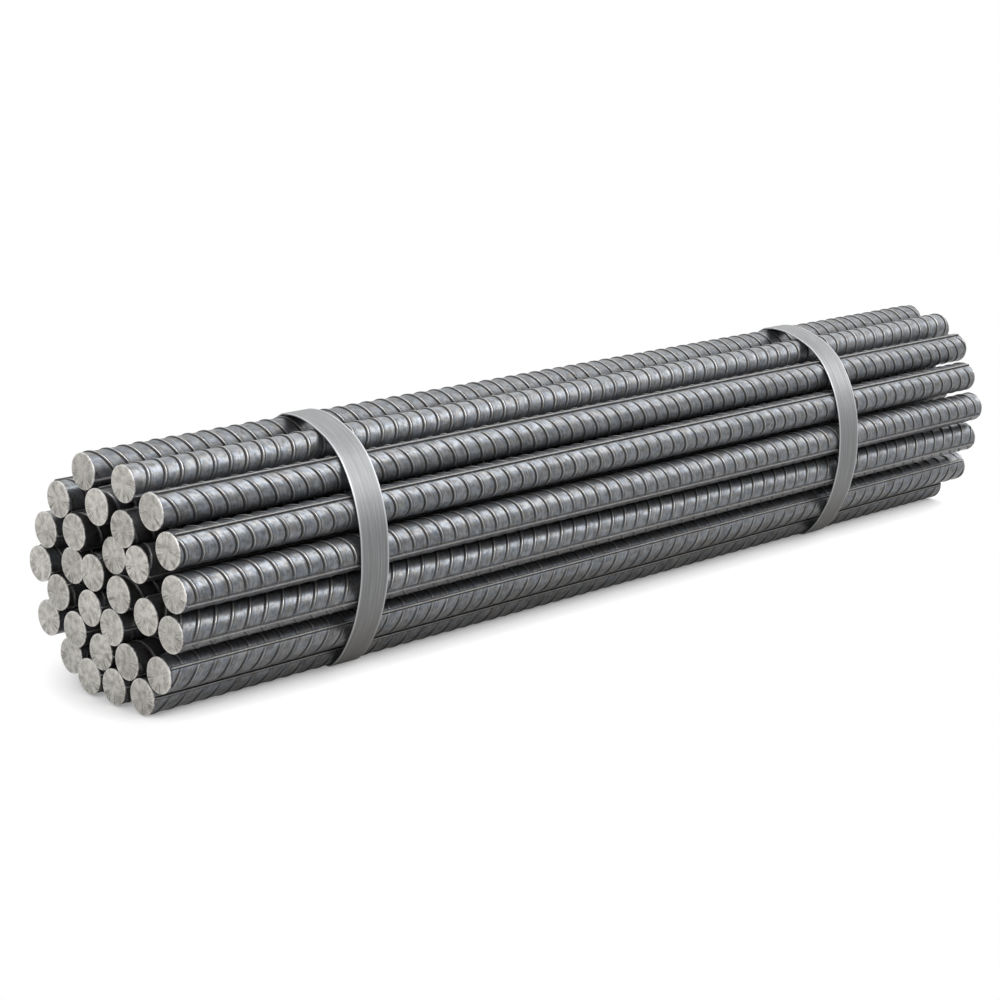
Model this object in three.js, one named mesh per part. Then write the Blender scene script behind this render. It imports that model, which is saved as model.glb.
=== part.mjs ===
// A bundle of straight ribbed reinforcing bars, cut to one length and held by two steel straps.
// Millimetres, +Z up. The bars run along X and the bundle lies on the floor at z = 0.
import * as THREE from 'three';

// Bars: hot-rolled rounds with two ribs running lengthwise, on opposite sides of each bar.
const BAR_DIAMETER = 25;
const BAR_LENGTH = 890;
const LONG_RIB_HEIGHT = 1.0;
const LONG_RIB_CREST = 1.6;
const LONG_RIB_FOOT = 3.4;
const ARC_SEGMENTS = 13;

// The pile, in bar diameters from centre to centre, so that it keeps its form at any bar size.
const TOUCHING = 1.015;
const FLOOR_SPREAD = 1.22;
const SLIGHTLY_APART = 0.04;
const RIB_CLEARANCE = 0.3;

// Straps: flat steel drawn tight round the bars, its ends lapped and welded on the back of the bundle.
// The strip is too stiff to fold over a bar, so it spreads each bend over some degrees to either side.
const STRAP_WIDTH = 25;
const STRAP_THICKNESS = 0.9;
const STRAP_CLEARANCE = 0.3;
const STRAP_LAP = 30;
const STRAP_BEND_SPREAD = 12;
const STRAP_STEP = 3;

// Each strap's place along the bars at the middle of the bundle, from the end that it is nearer to.
// The straps were pulled slightly askew: their back halves lie further along the bars.
const FRONT_STRAP_INSET = 165;
const FRONT_STRAP_SKEW = 13;
const BACK_STRAP_INSET = 163;
const BACK_STRAP_SKEW = 18;

// Bars that were cut or knocked out of line, bar number to steps of this many millimetres.
const CUT_STEP = 1;
const FRONT_RECESS = { 6: 1, 11: 2.5, 12: 3, 20: 1.5, 24: 5, 25: 1.5, 28: 2 };
const BACK_OVERRUN = {
  1: 33, 2: 14, 3: 8, 4: 3, 6: -4, 9: -9, 10: 5, 11: -6, 15: -3, 17: 7, 19: -4, 20: 9, 23: -5, 27: 3, 30: -6,
};

const BAR_RADIUS = BAR_DIAMETER / 2;
const CREST_RADIUS = BAR_RADIUS + LONG_RIB_HEIGHT;
const DEGREE = Math.PI / 180;

// Section plane of the bundle: first coordinate across (world Y), second up (world Z).
const centres = new Map();

// A bar on the bottom strap, its place counted in floor spreads from the middle bar.
function onFloor(bar, place) {
  centres.set(bar, new THREE.Vector2(place * FLOOR_SPREAD * BAR_DIAMETER, BAR_RADIUS));
}

// A bar in the valley above two others that it touches.
function inValley(bar, first, second) {
  const a = centres.get(first);
  const b = centres.get(second);
  const rise = Math.sqrt((TOUCHING * BAR_DIAMETER) ** 2 - (a.distanceTo(b) / 2) ** 2);
  const upward = new THREE.Vector2(a.y - b.y, b.x - a.x).normalize();
  if (upward.y < 0) upward.negate();
  centres.set(bar, a.clone().add(b).multiplyScalar(0.5).addScaledVector(upward, rise));
}

// A bar beside another, at an angle from straight above it that counts towards -Y. A gap, in
// diameters, keeps the two apart: the room for a rib between them, or more where the straps hold them.
function beside(bar, other, angle, gap = 0) {
  const way = new THREE.Vector2(-Math.sin(angle * DEGREE), Math.cos(angle * DEGREE));
  centres.set(bar, centres.get(other).clone().addScaledVector(way, (TOUCHING + gap) * BAR_DIAMETER));
}

// The pile from the floor up. Bar 1 ends on top, bar 30 lies lowest on the -Y side.
onFloor(28, 1);
onFloor(29, 0);
onFloor(30, -1);
inValley(25, 28, 29);
inValley(26, 29, 30);
beside(24, 28, -70);
beside(27, 30, 45, SLIGHTLY_APART);
beside(21, 24, 30);
beside(20, 24, -40, 0.2);
inValley(22, 25, 26);
inValley(17, 21, 22);
beside(19, 27, 25, 0.3);
beside(23, 19, -75, SLIGHTLY_APART);
beside(16, 20, 35);
beside(18, 22, 20);
beside(10, 16, -50);
beside(11, 16, 35);
inValley(13, 17, 11);
beside(15, 19, 10, 0.1);
inValley(12, 18, 13);
beside(6, 10, 15);
beside(7, 11, 15);
beside(9, 15, -10, 0.1);
beside(8, 12, 35);
beside(14, 8, 146);
beside(3, 7, -40);
beside(4, 8, -70, 0.15);
beside(5, 9, -35, 0.1);
beside(2, 5, -65, 0.25);
beside(1, 4, -32);

// Which way one lengthwise rib of each outer bar faces, in degrees from straight up towards -Y.
// The other bars start from a fan of different turns.
const WANTED_TURN = { 1: 160, 2: 110, 5: 17, 9: 28, 15: 118, 19: 112, 27: 60, 28: 75, 29: 80, 30: 72 };
const TURN_FAN = 47;
const TURN_STEP = 3;

const turns = new Map();

// The corners of both lengthwise ribs' crests, for a bar turned by an angle.
function crestCorners(bar, turn) {
  const half = Math.asin(LONG_RIB_CREST / 2 / CREST_RADIUS) / DEGREE;
  return [turn - half, turn + half, turn + 180 - half, turn + 180 + half].map((degrees) => {
    const angle = degrees * DEGREE;
    const way = new THREE.Vector2(-Math.sin(angle), Math.cos(angle));
    return centres.get(bar).clone().addScaledVector(way, CREST_RADIUS);
  });
}

// The lengthwise ribs are clear where they keep off the other bars and off the ribs already placed.
function ribsClear(bar, turn) {
  return crestCorners(bar, turn).every((corner) => [...centres].every(([other, centre]) => {
    if (other === bar) return true;
    if (corner.distanceTo(centre) < BAR_RADIUS + RIB_CLEARANCE) return false;
    const placed = turns.has(other) ? crestCorners(other, turns.get(other)) : [];
    return placed.every((rib) => corner.distanceTo(rib) > LONG_RIB_FOOT);
  }));
}

// Each bar turns from the wanted way until both of its lengthwise ribs face free space.
function turnClear(bar) {
  const wanted = WANTED_TURN[bar] ?? bar * TURN_FAN;
  for (let shift = 0; shift < 90; shift += TURN_STEP) {
    if (ribsClear(bar, wanted + shift)) return wanted + shift;
    if (ribsClear(bar, wanted - shift)) return wanted - shift;
  }
  return wanted;
}

for (const bar of centres.keys()) turns.set(bar, turnClear(bar));

// Section of a bar: a round with two lengthwise ribs, the first of them straight up.
function barSection() {
  const foot = Math.asin(LONG_RIB_FOOT / 2 / BAR_RADIUS);
  const crestHeight = Math.sqrt(CREST_RADIUS ** 2 - (LONG_RIB_CREST / 2) ** 2);
  const section = new THREE.Shape();
  for (const side of [1, -1]) {
    const top = side * Math.PI / 2;
    section.absarc(0, 0, BAR_RADIUS, top + foot, top + Math.PI - foot);
    section.lineTo(side * -LONG_RIB_CREST / 2, side * -crestHeight);
    section.lineTo(side * LONG_RIB_CREST / 2, side * -crestHeight);
  }
  return section.closePath();
}

// Outline of one bar where it lies in the pile.
function placedOutline(bar) {
  const turn = turns.get(bar) * DEGREE;
  return barSection().getPoints(ARC_SEGMENTS).map(
    (point) => point.rotateAround(new THREE.Vector2(), turn).add(centres.get(bar)),
  );
}

// Anticlockwise convex outline round a set of points.
function convexHull(points) {
  const sorted = [...points].sort((a, b) => a.x - b.x || a.y - b.y);
  const chain = (run) => {
    const kept = [];
    for (const point of run) {
      while (kept.length > 1) {
        const last = kept.at(-1);
        const edge = last.clone().sub(kept.at(-2));
        if (edge.cross(point.clone().sub(last)) > 0) break;
        kept.pop();
      }
      kept.push(point);
    }
    return kept.slice(0, -1);
  };
  return [...chain(sorted), ...chain(sorted.reverse())];
}

// Outward direction of the edge that leaves a corner of an anticlockwise outline.
function edgeNormal(outline, corner) {
  const edge = outline[(corner + 1) % outline.length].clone().sub(outline[corner]);
  return new THREE.Vector2(edge.y, -edge.x).normalize();
}

// The outline moved outwards by a distance, its corners mitred.
function offsetOutline(outline, distance) {
  return outline.map((point, corner) => {
    const before = edgeNormal(outline, (corner + outline.length - 1) % outline.length);
    const after = edgeNormal(outline, corner);
    const mitre = before.clone().add(after).normalize();
    return point.clone().addScaledVector(mitre, distance / mitre.dot(after));
  });
}

// Middle of the pile's section.
const PILE_MIDDLE = new THREE.Box2().setFromPoints([...centres.values()]).getCenter(new THREE.Vector2());

// The corner of an outline that lies farthest in a direction.
function farthest(outline, angle) {
  const way = new THREE.Vector2(Math.cos(angle * DEGREE), Math.sin(angle * DEGREE));
  return outline.reduce((best, point) => (point.dot(way) > best.dot(way) ? point : best));
}

// Outline of a stiff strip drawn tight round the bars: the mean of their convex outline turned by each
// angle of the spread. Its points follow one another by the direction that the strip faces there.
function tautOutline(outline) {
  const points = [];
  const turned = 2 * STRAP_BEND_SPREAD / STRAP_STEP + 1;
  for (let angle = 0; angle < 360; angle += STRAP_STEP) {
    const sum = new THREE.Vector2();
    for (let turn = -STRAP_BEND_SPREAD; turn <= STRAP_BEND_SPREAD; turn += STRAP_STEP) {
      sum.add(farthest(outline, angle + turn).clone().rotateAround(PILE_MIDDLE, -turn * DEGREE));
    }
    points.push(sum.divideScalar(turned));
  }
  return points;
}

// How far an outline has to move outwards to take in a set of points.
function shortfall(outline, points) {
  return Math.max(...outline.map((corner, index) => {
    const normal = edgeNormal(outline, index);
    return Math.max(...points.map((point) => point.dot(normal))) - corner.dot(normal);
  }));
}

// The part of an outline above a level, closed by a straight run along it.
function restOn(outline, level) {
  return outline.flatMap((from, corner) => {
    const to = outline[(corner + 1) % outline.length];
    const kept = from.y >= level ? [from] : [];
    if ((from.y - level) * (to.y - level) >= 0) return kept;
    return [...kept, from.clone().lerp(to, (level - from.y) / (to.y - from.y))];
  });
}

// The outer outline of a strap, raised by its thickness where the outer end lies over the inner one.
// The lap is centred on the point that faces the back.
function lappedOutline(outer, raised, length) {
  const middle = farthest(outer, 0);
  const lapped = outer.map((point) => point.distanceTo(middle) < length / 2);
  return outer.flatMap((point, corner) => {
    const before = lapped.at(corner - 1);
    const after = lapped[(corner + 1) % outer.length];
    if (!lapped[corner]) return [point];
    if (!before) return [point, raised[corner]];
    return after ? [raised[corner]] : [raised[corner], point];
  });
}

// The outline that both straps follow, and how far it falls short of clearing the ribs.
const sections = [...centres.keys()].flatMap(placedOutline);
const taut = tautOutline(convexHull(sections));
const slack = shortfall(taut, sections);
const lowest = Math.min(...sections.map((point) => point.y));

// Bars and straps are built along Z and turned so that across is +Y, up is +Z and along is +X.
const bundle = new THREE.Group();
bundle.quaternion.setFromRotationMatrix(new THREE.Matrix4().makeBasis(
  new THREE.Vector3(0, 1, 0), new THREE.Vector3(0, 0, 1), new THREE.Vector3(1, 0, 0),
));

function extrude(shape, length) {
  const options = { depth: length, bevelEnabled: false, curveSegments: ARC_SEGMENTS };
  return new THREE.ExtrudeGeometry(shape, options);
}

function makeBar(bar) {
  const recess = (FRONT_RECESS[bar] ?? 0) * CUT_STEP;
  const length = BAR_LENGTH - recess + (BACK_OVERRUN[bar] ?? 0) * CUT_STEP;
  const millScale = new THREE.MeshStandardMaterial({ color: '#666b72', metalness: 0.8, roughness: 0.5 });
  const mesh = new THREE.Mesh(extrude(barSection(), length), millScale);
  const centre = centres.get(bar);
  mesh.name = `rebar_${String(bar).padStart(2, '0')}`;
  mesh.position.set(centre.x, centre.y, recess);
  mesh.rotation.z = turns.get(bar) * DEGREE;
  return mesh;
}

function makeStrap(name, start, skew) {
  const lift = STRAP_CLEARANCE + slack;
  const layers = [0, 1, 2].map((layer) => offsetOutline(taut, lift + layer * STRAP_THICKNESS));
  const floor = lowest - STRAP_CLEARANCE;
  const outer = lappedOutline(layers[1], layers[2], STRAP_LAP);
  const band = new THREE.Shape(restOn(outer, floor - STRAP_THICKNESS));
  band.holes.push(new THREE.Path(restOn(layers[0], floor)));
  const strapSteel = new THREE.MeshStandardMaterial({ color: '#8f8f90', metalness: 0.9, roughness: 0.4 });
  const askew = new THREE.Matrix4().makeShear(0, Math.tan(skew * DEGREE), 0, 0, 0, 0);
  const mesh = new THREE.Mesh(extrude(band, STRAP_WIDTH).applyMatrix4(askew), strapSteel);
  mesh.name = name;
  mesh.position.z = start;
  return mesh;
}

const bars = [...centres.keys()].sort((a, b) => a - b);
for (const bar of bars) bundle.add(makeBar(bar));
bundle.add(makeStrap('strap_front', FRONT_STRAP_INSET, FRONT_STRAP_SKEW));
const backStrapStart = BAR_LENGTH - BACK_STRAP_INSET - STRAP_WIDTH;
bundle.add(makeStrap('strap_back', backStrapStart, BACK_STRAP_SKEW));

// The origin is at the middle of the bundle's underside.
const model = new THREE.Group();
model.add(bundle);
model.updateMatrixWorld(true);
const box = new THREE.Box3().setFromObject(model, true);
bundle.position.set(-(box.min.x + box.max.x) / 2, -(box.min.y + box.max.y) / 2, -box.min.z);

export default model;
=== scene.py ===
"""Finish of a bundle of ribbed reinforcing bars held by two steel straps, laid out as a Blender add-on."""

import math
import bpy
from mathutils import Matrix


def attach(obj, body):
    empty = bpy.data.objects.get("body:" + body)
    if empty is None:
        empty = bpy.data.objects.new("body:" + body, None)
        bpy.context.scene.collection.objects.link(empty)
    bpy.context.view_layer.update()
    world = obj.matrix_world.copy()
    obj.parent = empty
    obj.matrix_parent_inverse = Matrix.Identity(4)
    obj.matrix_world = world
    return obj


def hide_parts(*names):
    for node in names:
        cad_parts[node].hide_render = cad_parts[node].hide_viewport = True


bl_info = {
    "name": "Rebar bundle",
    "version": (1, 0, 0),
    "blender": (4, 5, 0),
    "location": "3D View > Sidebar > Rebar",
    "description": "Rolls the ribs onto the bars of a strapped bundle, finishes its steel and sets the stage",
    "category": "Object",
}

import bmesh
import bpy
import numpy as np
from bpy.props import FloatProperty, FloatVectorProperty, PointerProperty, StringProperty
from bpy.types import Operator, Panel, PropertyGroup
from mathutils import Vector
from mathutils.bvhtree import BVHTree

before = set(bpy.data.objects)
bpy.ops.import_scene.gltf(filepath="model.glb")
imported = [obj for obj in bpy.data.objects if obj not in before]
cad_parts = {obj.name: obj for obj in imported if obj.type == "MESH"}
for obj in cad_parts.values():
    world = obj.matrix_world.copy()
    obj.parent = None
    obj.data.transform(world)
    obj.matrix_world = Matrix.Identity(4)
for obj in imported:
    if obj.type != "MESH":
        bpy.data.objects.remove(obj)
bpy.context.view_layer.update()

MM = 0.001
DIAMETER = 25.0
BARS = sorted(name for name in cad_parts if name.startswith("rebar_"))
STRAPS = ("strap_front", "strap_back")

# Bars that lie round the outside of the pile. The others show only their ends and slits of their sides.
OUTER = {1, 2, 3, 5, 6, 9, 10, 15, 19, 20, 24, 27, 28, 29, 30}

# Cross ribs of the bars on the -Y side: how far a rib runs along the bar over its half of the round, how
# far its middle bows forward and where the first rib stands, in bar diameters, and the bar's share of the
# usual pitch. Each bar came off its own worn pair of rolls.
RIB_RUN = {
    1: (0.64, -0.13, 0.17, 0.993),
    2: (-0.03, 0.22, -0.20, 0.989),
    5: (0.47, 0.18, 0.12, 0.993),
    9: (-0.15, 0.32, -0.02, 1.013),
    15: (0.51, 0.12, -0.12, 0.982),
    19: (-1.13, -0.13, -0.20, 1.029),
    27: (-0.56, -0.19, -0.08, 1.020),
    30: (-0.59, -0.23, 0.06, 1.039),
}

# Cross ribs of the other bars, in bar diameters: least and most run over half the round, most bow either
# way and most distance to the first rib.
OTHER_RUNS = (0.35, 0.6)
OTHER_BOW = 0.12
OTHER_FIRST = 0.5

# Bars that lie turned on from their CAD solids, in degrees towards -Y, with the same axis and ends.
TURNED_ON = {1: -59, 2: 12, 30: 12}

# Least dirt all over a bar that lay open to the weather. The feet of its ribs hold up to 1.
DUSTY = {1: 0.28}

# The camera stands off the front end of the bar that lies lowest in the middle, in metres.
CAMERA_BAR = "rebar_29"
CAMERA_STAND = (-0.8608, -1.2117, 0.4685)
SENSOR_WIDTH = 36.0


# ---------------------------------------------------------------- settings


class BarSettings(PropertyGroup):
    """Sizes and colours of the bars."""

    core: FloatProperty(
        name="Core", description="Diameter between the ribs", default=24.2 * MM, unit="LENGTH"
    )
    rib_pitch: FloatProperty(
        name="Rib pitch", description="Spacing of the cross ribs along the bar",
        default=13.6 * MM, unit="LENGTH",
    )
    rib_height: FloatProperty(
        name="Rib height", description="Height of a cross rib over the core",
        default=0.85 * MM, unit="LENGTH",
    )
    rib_crest: FloatProperty(
        name="Rib crest", description="Width of a cross rib at its crest", default=0.6 * MM, unit="LENGTH"
    )
    rib_foot: FloatProperty(
        name="Rib foot", description="Width of a cross rib at its foot", default=3.3 * MM, unit="LENGTH"
    )
    cut_radius: FloatProperty(
        name="Cut radius", description="Radius of a cut end, where the saw has worn the ribs away",
        default=12.4 * MM, unit="LENGTH",
    )
    scale_hex: StringProperty(
        name="Mill scale", description="Colour of the rolled skin, sRGB hex", default="727579"
    )
    dark_hex: StringProperty(
        name="Dark scale", description="Colour of its darker patches, sRGB hex", default="4a4c4f"
    )
    # The rubbed crests take this colour too, and on the bar's upper side they are partly a painted highlight.
    worn_hex: StringProperty(
        name="Worn scale", description="Colour of its rubbed spots, sRGB hex", default="a6a6a5"
    )
    rust_hex: StringProperty(name="Rust", description="Colour of the rust bloom, sRGB hex", default="6c5a4d")
    # The dirt at the ribs' feet is partly painted shade in those creases.
    grime_and_shade_hex: StringProperty(
        name="Grime", description="Colour of the dirt at the ribs, sRGB hex", default="1c1713"
    )
    blue_hex: StringProperty(
        name="Blued scale", description="Colour of the scale that cooled slowly, sRGB hex", default="69727f"
    )
    brown_hex: StringProperty(
        name="Brown scale", description="Colour of the scale that was left thin, sRGB hex", default="6f6a62"
    )
    cut_hex: StringProperty(name="Cut end", description="Colour of the cut faces, sRGB hex", default="cccac4")
    cut_dark_hex: StringProperty(
        name="Cut streaks", description="Colour of their streaks, sRGB hex", default="575450"
    )
    cut_rim_hex: StringProperty(
        name="Cut rim", description="Colour of their burnished rims, sRGB hex", default="cfcdca"
    )


class StrapSettings(PropertyGroup):
    """Sizes and colours of the straps."""

    edge: FloatProperty(
        name="Edge radius", description="Rounding of the strap's edges", default=0.25 * MM, unit="LENGTH"
    )
    strip_hex: StringProperty(
        name="Strip", description="Colour of the strap steel, sRGB hex", default="6e6f70"
    )
    light_hex: StringProperty(
        name="Scratches", description="Colour of its scratches, sRGB hex", default="a3a5a7"
    )
    dark_hex: StringProperty(
        name="Dull streaks", description="Colour of its dull streaks, sRGB hex", default="4c4d4e"
    )
    edge_hex: StringProperty(
        name="Edges", description="Colour of its burnished edges, sRGB hex", default="b4b6b9"
    )


class StageSettings(PropertyGroup):
    """Camera, floor and light."""

    camera: FloatVectorProperty(
        name="Camera", description="Place of the camera from the lowest bar's front end",
        default=CAMERA_STAND, subtype="XYZ", unit="LENGTH",
    )
    azimuth: FloatProperty(
        name="Azimuth", description="Way the camera looks, 0 along +Y", default=-0.7892, subtype="ANGLE"
    )
    pitch: FloatProperty(name="Pitch", description="How far it looks down", default=0.2297, subtype="ANGLE")
    lens: FloatProperty(
        name="Lens", description="Focal length on a 36 mm sensor, in millimetres", default=84.06
    )
    floor_hex: StringProperty(name="Floor", description="Colour of the floor, sRGB hex", default="fcfcfc")
    # Metal sees the floor in this colour near the bundle's foot, which is painted shade there.
    bounce_and_foot_shade_hex: StringProperty(
        name="Bounce", description="Colour that the floor lends to the light it throws back, sRGB hex",
        default="b4b0aa",
    )
    key: FloatProperty(
        name="Key", description="Light of the key lamp on a surface that faces it", default=1.02
    )
    key_from: FloatVectorProperty(
        name="Key from", description="Way to the key lamp", default=(0.50, -0.46, 0.78), subtype="DIRECTION"
    )
    fill: FloatProperty(
        name="Fill", description="Light of the fill lamp on a surface that faces it", default=0.6
    )
    fill_from: FloatVectorProperty(
        name="Fill from", description="Way to the fill lamp",
        default=(-0.85, -0.35, 0.40), subtype="DIRECTION",
    )
    rim: FloatProperty(
        name="Rim", description="Light of the rim lamp on a surface that faces it", default=0.22
    )
    rim_from: FloatVectorProperty(
        name="Rim from", description="Way to the rim lamp", default=(0.55, 0.42, 0.72), subtype="DIRECTION"
    )
    softness: FloatProperty(
        name="Softness", description="Angle that each lamp spans", default=math.radians(52), subtype="ANGLE"
    )
    sky: FloatProperty(name="Sky", description="Strength of the light from all round", default=0.40)


# ---------------------------------------------------------------- materials


def linear(hex_colour):
    """An sRGB hex colour as Blender's linear colour."""
    channels = [int(hex_colour[i : i + 2], 16) / 255 for i in (0, 2, 4)]
    return (*(c / 12.92 if c <= 0.04045 else ((c + 0.055) / 1.055) ** 2.4 for c in channels), 1.0)


def add_node(tree, kind, settings=(), links=()):
    """Adds a node. Settings go to its properties, or else to its sockets. Links join other sockets, or the
    first outputs of nodes, to its sockets."""
    node = tree.nodes.new(kind)
    for name, value in dict(settings).items():
        if isinstance(name, str) and hasattr(node, name):
            setattr(node, name, value)
        else:
            node.inputs[name].default_value = value
    for name, source in dict(links).items():
        output = source.outputs[0] if isinstance(source, bpy.types.Node) else source
        tree.links.new(output, node.inputs[name])
    return node


def new_material(name):
    """An empty node material with its Principled shader."""
    material = bpy.data.materials.new(name)
    material.use_nodes = True
    tree = material.node_tree
    tree.nodes.clear()
    shader = add_node(tree, "ShaderNodeBsdfPrincipled")
    add_node(tree, "ShaderNodeOutputMaterial", links={"Surface": shader})
    return material, tree, shader


def grain(tree, place, size, detail=3.0, roughness=0.55):
    """Noise whose features have the given size in millimetres along each axis, from 0 to 1."""
    sizes = size if isinstance(size, tuple) else (size,) * 3
    stretch = add_node(tree, "ShaderNodeVectorMath", {"operation": "DIVIDE", 1: sizes}, {0: place})
    settings = {"Scale": 1.0, "Detail": detail, "Roughness": roughness}
    return add_node(tree, "ShaderNodeTexNoise", settings, {"Vector": stretch}).outputs["Fac"]


def amount(tree, *bands):
    """The product of one or more bands. A band is a pattern, two of its values, and what these become, which
    is 0 and 1 where nothing is said. Past them the pattern is held."""
    product = None
    for pattern, low, high, *ends in bands:
        to_low, to_high = ends or (0.0, 1.0)
        settings = {"From Min": low, "From Max": high, "To Min": to_low, "To Max": to_high}
        band = add_node(tree, "ShaderNodeMapRange", settings, {"Value": pattern})
        if product is None:
            product = band
        else:
            product = add_node(tree, "ShaderNodeMath", {"operation": "MULTIPLY"}, {0: product, 1: band})
    return product.outputs[0]


def coat(tree, under, colour, *bands):
    """Lays a colour over another by the amount that its bands give. Each is a hex colour or a socket."""
    mix = add_node(tree, "ShaderNodeMix", {"data_type": "RGBA"}, {0: amount(tree, *bands)})
    for socket, shade in ((6, under), (7, colour)):
        if isinstance(shade, str):
            mix.inputs[socket].default_value = linear(shade)
        else:
            tree.links.new(shade, mix.inputs[socket])
    return mix.outputs[2]


def relief(tree, shader, *layers):
    """Gives a surface the relief of patterns, each with its depth in millimetres."""
    below = {}
    for height, depth in layers:
        settings = {"Distance": depth * MM, "Strength": 1.0}
        below = {"Normal": add_node(tree, "ShaderNodeBump", settings, {"Height": height, **below})}
    tree.links.new(below["Normal"].outputs[0], shader.inputs["Normal"])


def hot_rolled_steel(settings):
    """Hot-rolled carbon steel: dark blue-grey mill scale with a soft gloss and faint blue and brown tints,
    mottled and wiped round the bar by the rolls, rubbed bright on the crests, which on the bar's upper side
    is also a painted highlight, with dirt and rust caught at the feet of the ribs, where the dirt is partly
    painted shade."""
    material, tree, shader = new_material("hot_rolled_steel")
    place = add_node(tree, "ShaderNodeAttribute", {"attribute_name": "skin"}).outputs["Vector"]
    crest = add_node(tree, "ShaderNodeAttribute", {"attribute_name": "crest"}).outputs["Fac"]
    dirt_and_shade = add_node(tree, "ShaderNodeAttribute", {"attribute_name": "grime_and_shade"}).outputs["Fac"]
    wiped = grain(tree, place, (1.1, 8.0, 8.0), 3.0, 0.6)
    mottle = grain(tree, place, (4.0, 3.2, 3.2), 4.0, 0.6)
    broad = grain(tree, place, (45.0, 16.0, 16.0), 2.0)
    speckle = grain(tree, place, 0.8, 2.0, 0.7)
    bloom = grain(tree, place, (9.0, 6.0, 6.0), 5.0, 0.65)
    temper = grain(tree, place, (4.5, 3.5, 3.5), 3.0, 0.5)
    # Dirt at the feet of the ribs, partly painted shade in those creases, heaviest on the side away from the
    # key lamp.
    grime_and_shade = amount(tree, (dirt_and_shade, 0.0, 1.0), (mottle, 0.25, 0.6, 0.75, 1.0))
    # Rubbed crests: wear, and on the bar's upper side a painted highlight.
    rubbed_and_highlit = amount(tree, (crest, 0.72, 0.97), (speckle, 0.32, 0.62, 0.4, 1.0))
    bare = coat(tree, settings.worn_hex, settings.rust_hex, (bloom, 0.40, 0.65, 0.0, 0.35))
    skin = settings.dark_hex
    for colour, *band in (
        (settings.scale_hex, mottle, 0.36, 0.62),
        (settings.worn_hex, wiped, 0.50, 0.66, 0.0, 0.32),
        (settings.dark_hex, wiped, 0.44, 0.32, 0.0, 0.20),
        (settings.dark_hex, broad, 0.55, 0.75, 0.0, 0.35),
        (settings.rust_hex, bloom, 0.52, 0.74, 0.0, 0.30),
        (settings.blue_hex, temper, 0.46, 0.62, 0.0, 0.34),
        (settings.brown_hex, temper, 0.52, 0.38, 0.0, 0.26),
        (settings.grime_and_shade_hex, grime_and_shade, 0.0, 1.0),
        (bare, rubbed_and_highlit, 0.0, 1.0),
    ):
        skin = coat(tree, skin, colour, band)
    tree.links.new(skin, shader.inputs["Base Color"])
    shader.inputs["Metallic"].default_value = 0.68
    rough = amount(tree, (mottle, 0.3, 0.7, 0.43, 0.33))
    for cause, change in ((rubbed_and_highlit, -0.16), (grime_and_shade, 0.4)):
        links = {0: cause, 2: rough}
        rough = add_node(tree, "ShaderNodeMath", {"operation": "MULTIPLY_ADD", 1: change}, links)
    tree.links.new(rough.outputs[0], shader.inputs["Roughness"])
    tree.links.new(amount(tree, (grime_and_shade, 0.2, 0.9, 0.5, 0.05)), shader.inputs["Specular IOR Level"])
    relief(tree, shader, (mottle, 0.08), (wiped, 0.03), (speckle, 0.03))
    return material


def cut_steel(settings):
    """Sawn bar ends: bare bright-grey steel, matt, smeared into streaks that spread from the middle, with a
    brighter burnished rim."""
    material, tree, shader = new_material("cut_steel")
    place = add_node(tree, "ShaderNodeAttribute", {"attribute_name": "section"}).outputs["Vector"]
    flat = add_node(tree, "ShaderNodeVectorMath", {"operation": "MULTIPLY", 1: (0.0, 1.0, 1.0)}, {0: place})
    ray = add_node(tree, "ShaderNodeVectorMath", {"operation": "NORMALIZE"}, {0: flat})
    reach = add_node(tree, "ShaderNodeVectorMath", {"operation": "LENGTH"}, {0: flat}).outputs["Value"]
    height = add_node(tree, "ShaderNodeSeparateXYZ", links={0: place}).outputs["Z"]
    # Real saw marks are a few hundredths of a millimetre wide. They are drawn about 1 mm wide at the rim.
    spread = add_node(tree, "ShaderNodeVectorMath", {"operation": "SCALE", "Scale": 12.0}, {0: ray})
    drift = add_node(tree, "ShaderNodeVectorMath", {"operation": "SCALE", "Scale": 0.12}, {0: place})
    fan = add_node(tree, "ShaderNodeVectorMath", {"operation": "ADD"}, {0: spread, 1: drift})
    streaks = grain(tree, fan, 1.2, 3.0, 0.6)
    sectors = grain(tree, fan, 5.0, 1.0)
    clouds = grain(tree, place, 5.0, 3.0)
    speckle = grain(tree, place, 0.8, 3.0, 0.7)
    # The bars' ends lie far apart in this grain, so each has a tone of its own.
    tone = grain(tree, place, (600.0, 90.0, 90.0), 1.0)
    dark_streaks = (
        (streaks, 0.42, 0.62),
        (sectors, 0.38, 0.60, 0.1, 0.9),
        (reach, 0.5, 8.0),
        (height, -4.0, 6.0, 1.0, 0.4),
    )
    colour = settings.cut_hex
    for shade, *bands in (
        (settings.cut_dark_hex, (tone, 0.40, 0.60, 0.0, 0.32)),
        (settings.cut_dark_hex, (clouds, 0.42, 0.66, 0.0, 0.55)),
        (settings.cut_dark_hex, *dark_streaks),
        (settings.cut_rim_hex, (streaks, 0.50, 0.34), (reach, 2.0, 9.0, 0.0, 0.6)),
        (settings.cut_dark_hex, (speckle, 0.50, 0.68, 0.0, 0.45)),
        (settings.cut_rim_hex, (speckle, 0.46, 0.34, 0.0, 0.30)),
        (settings.cut_rim_hex, (reach, 11.0, 11.9), (sectors, 0.35, 0.60, 0.9, 0.2)),
    ):
        colour = coat(tree, colour, shade, *bands)
    tree.links.new(colour, shader.inputs["Base Color"])
    shader.inputs["Metallic"].default_value = 0.30
    shader.inputs["Roughness"].default_value = 0.50
    relief(tree, shader, (streaks, 0.20), (speckle, 0.05))
    return material


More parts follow.
